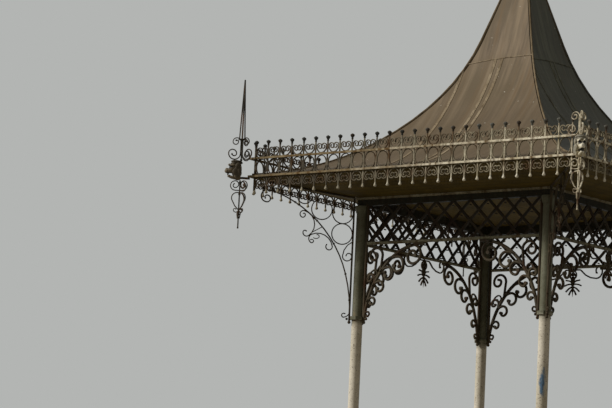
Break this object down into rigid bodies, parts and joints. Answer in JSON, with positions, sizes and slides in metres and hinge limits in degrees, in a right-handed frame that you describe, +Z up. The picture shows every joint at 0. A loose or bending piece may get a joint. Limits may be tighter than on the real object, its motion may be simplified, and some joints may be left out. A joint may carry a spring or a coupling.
{
  "type": "bandstand",
  "caption": "Open square bandstand: round iron columns carry lattice friezes, scrolled brackets and a concave hipped roof with a paling cresting, on a stone plinth.",
  "frame": {"origin": "middle of the plinth's underside, on the ground", "axes": "+Z up; the front faces -Y and the right side faces +X"},
  "size_m": [5.7236, 5.7236, 8.598],
  "materials": {
    "masonry": "plain dressed masonry, weathered",
    "coping_stone": "sawn stone, worn at the edges",
    "column_paint": "old cream paint, streaked and rusty in places",
    "beam_paint": "old cream paint, weathered",
    "ironwork": "olive-grey weathered paint with rust",
    "cresting_paint": "cream paint worn to rust brown",
    "roof_sheet": "brown-grey weathered metal sheet",
    "lining_boards": "dark brown stained boards"
  },
  "bodies": {
    "root": {"animal_heads": "cresting_paint", "back_arch": "ironwork", "back_beam": "beam_paint", "back_frieze": "ironwork", "back_left_column": "column_paint", "back_left_eaves_bracket": "ironwork", "back_left_standard": "ironwork", "back_palings": "cresting_paint", "back_rails": "cresting_paint", "back_right_column": "column_paint", "back_right_eaves_bracket": "ironwork", "back_right_standard": "ironwork", "back_roof": "roof_sheet", "ceiling": "lining_boards", "coping_slab": "coping_stone", "eaves_lining": "lining_boards", "front_arch": "ironwork", "front_beam": "beam_paint", "front_frieze": "ironwork", "front_left_column": "column_paint", "front_left_eaves_bracket": "ironwork", "front_left_standard": "ironwork", "front_palings": "cresting_paint", "front_rails": "cresting_paint", "front_right_column": "column_paint", "front_right_eaves_bracket": "ironwork", "front_right_standard": "ironwork", "front_roof": "roof_sheet", "hip_rolls": "roof_sheet", "left_arch": "ironwork", "left_beam": "beam_paint", "left_frieze": "ironwork", "left_palings": "cresting_paint", "left_rails": "cresting_paint", "left_roof": "roof_sheet", "pendants": "ironwork", "plinth": "masonry", "right_arch": "ironwork", "right_beam": "beam_paint", "right_frieze": "ironwork", "right_palings": "cresting_paint", "right_rails": "cresting_paint", "right_roof": "roof_sheet", "roof_finial": "roof_sheet"}
  },
  "joints": []
}
